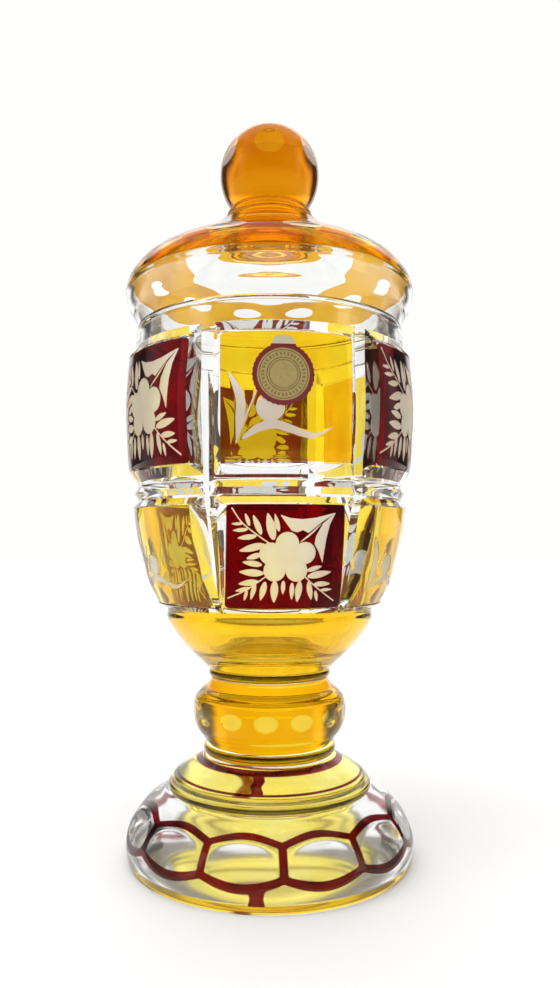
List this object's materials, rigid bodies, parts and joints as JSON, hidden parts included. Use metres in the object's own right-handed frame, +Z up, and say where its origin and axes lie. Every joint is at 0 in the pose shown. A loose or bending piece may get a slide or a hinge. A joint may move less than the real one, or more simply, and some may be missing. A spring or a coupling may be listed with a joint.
{
  "type": "covered vase",
  "caption": "Tall covered vase of cut glass: domed foot, ball knop, bowl with rows of framed amber and ruby engraved panels, and a loose domed lid with a ball finial.",
  "frame": {"origin": "centre of the foot's resting ring, on the table", "axes": "+Z up the vase's axis, -Y out of the front panel that carries the paper seal, +X to the right of it"},
  "size_m": [0.1176, 0.1181, 0.2998],
  "materials": {
    "clear_glass": "polished, colourless",
    "amber_glass": "polished, amber stain",
    "ruby_glass": "polished, ruby stain with matt engraving",
    "seal_paper": "foil-faced paper"
  },
  "bodies": {
    "vase": {"foot_disc": "clear_glass", "foot_step": "amber_glass", "lower_merese": "amber_glass", "knop": "amber_glass", "upper_merese": "amber_glass", "bowl": "clear_glass", "upper_panel_1": "amber_glass", "upper_panel_2": "ruby_glass", "upper_panel_3": "amber_glass", "upper_panel_4": "ruby_glass", "upper_panel_5": "amber_glass", "upper_panel_6": "ruby_glass", "lower_panel_1": "ruby_glass", "lower_panel_2": "amber_glass", "lower_panel_3": "ruby_glass", "lower_panel_4": "amber_glass", "lower_panel_5": "ruby_glass", "lower_panel_6": "amber_glass", "paper_seal": "seal_paper"},
    "flange": {"lid_flange": "clear_glass"},
    "lid": {"lid_dome": "amber_glass", "lid_collar": "amber_glass", "finial_ball": "amber_glass"}
  },
  "joints": [
    {"name": "lid_lift", "type": "slide", "parent": "vase", "child": "flange", "axis": [0, 0, 1], "range_m": [0, 0.12]},
    {"name": "lid_turn", "type": "hinge", "parent": "flange", "child": "lid", "pos_m": [0, 0, 0.2145], "axis": [0, 0, 1], "continuous": true}
  ]
}
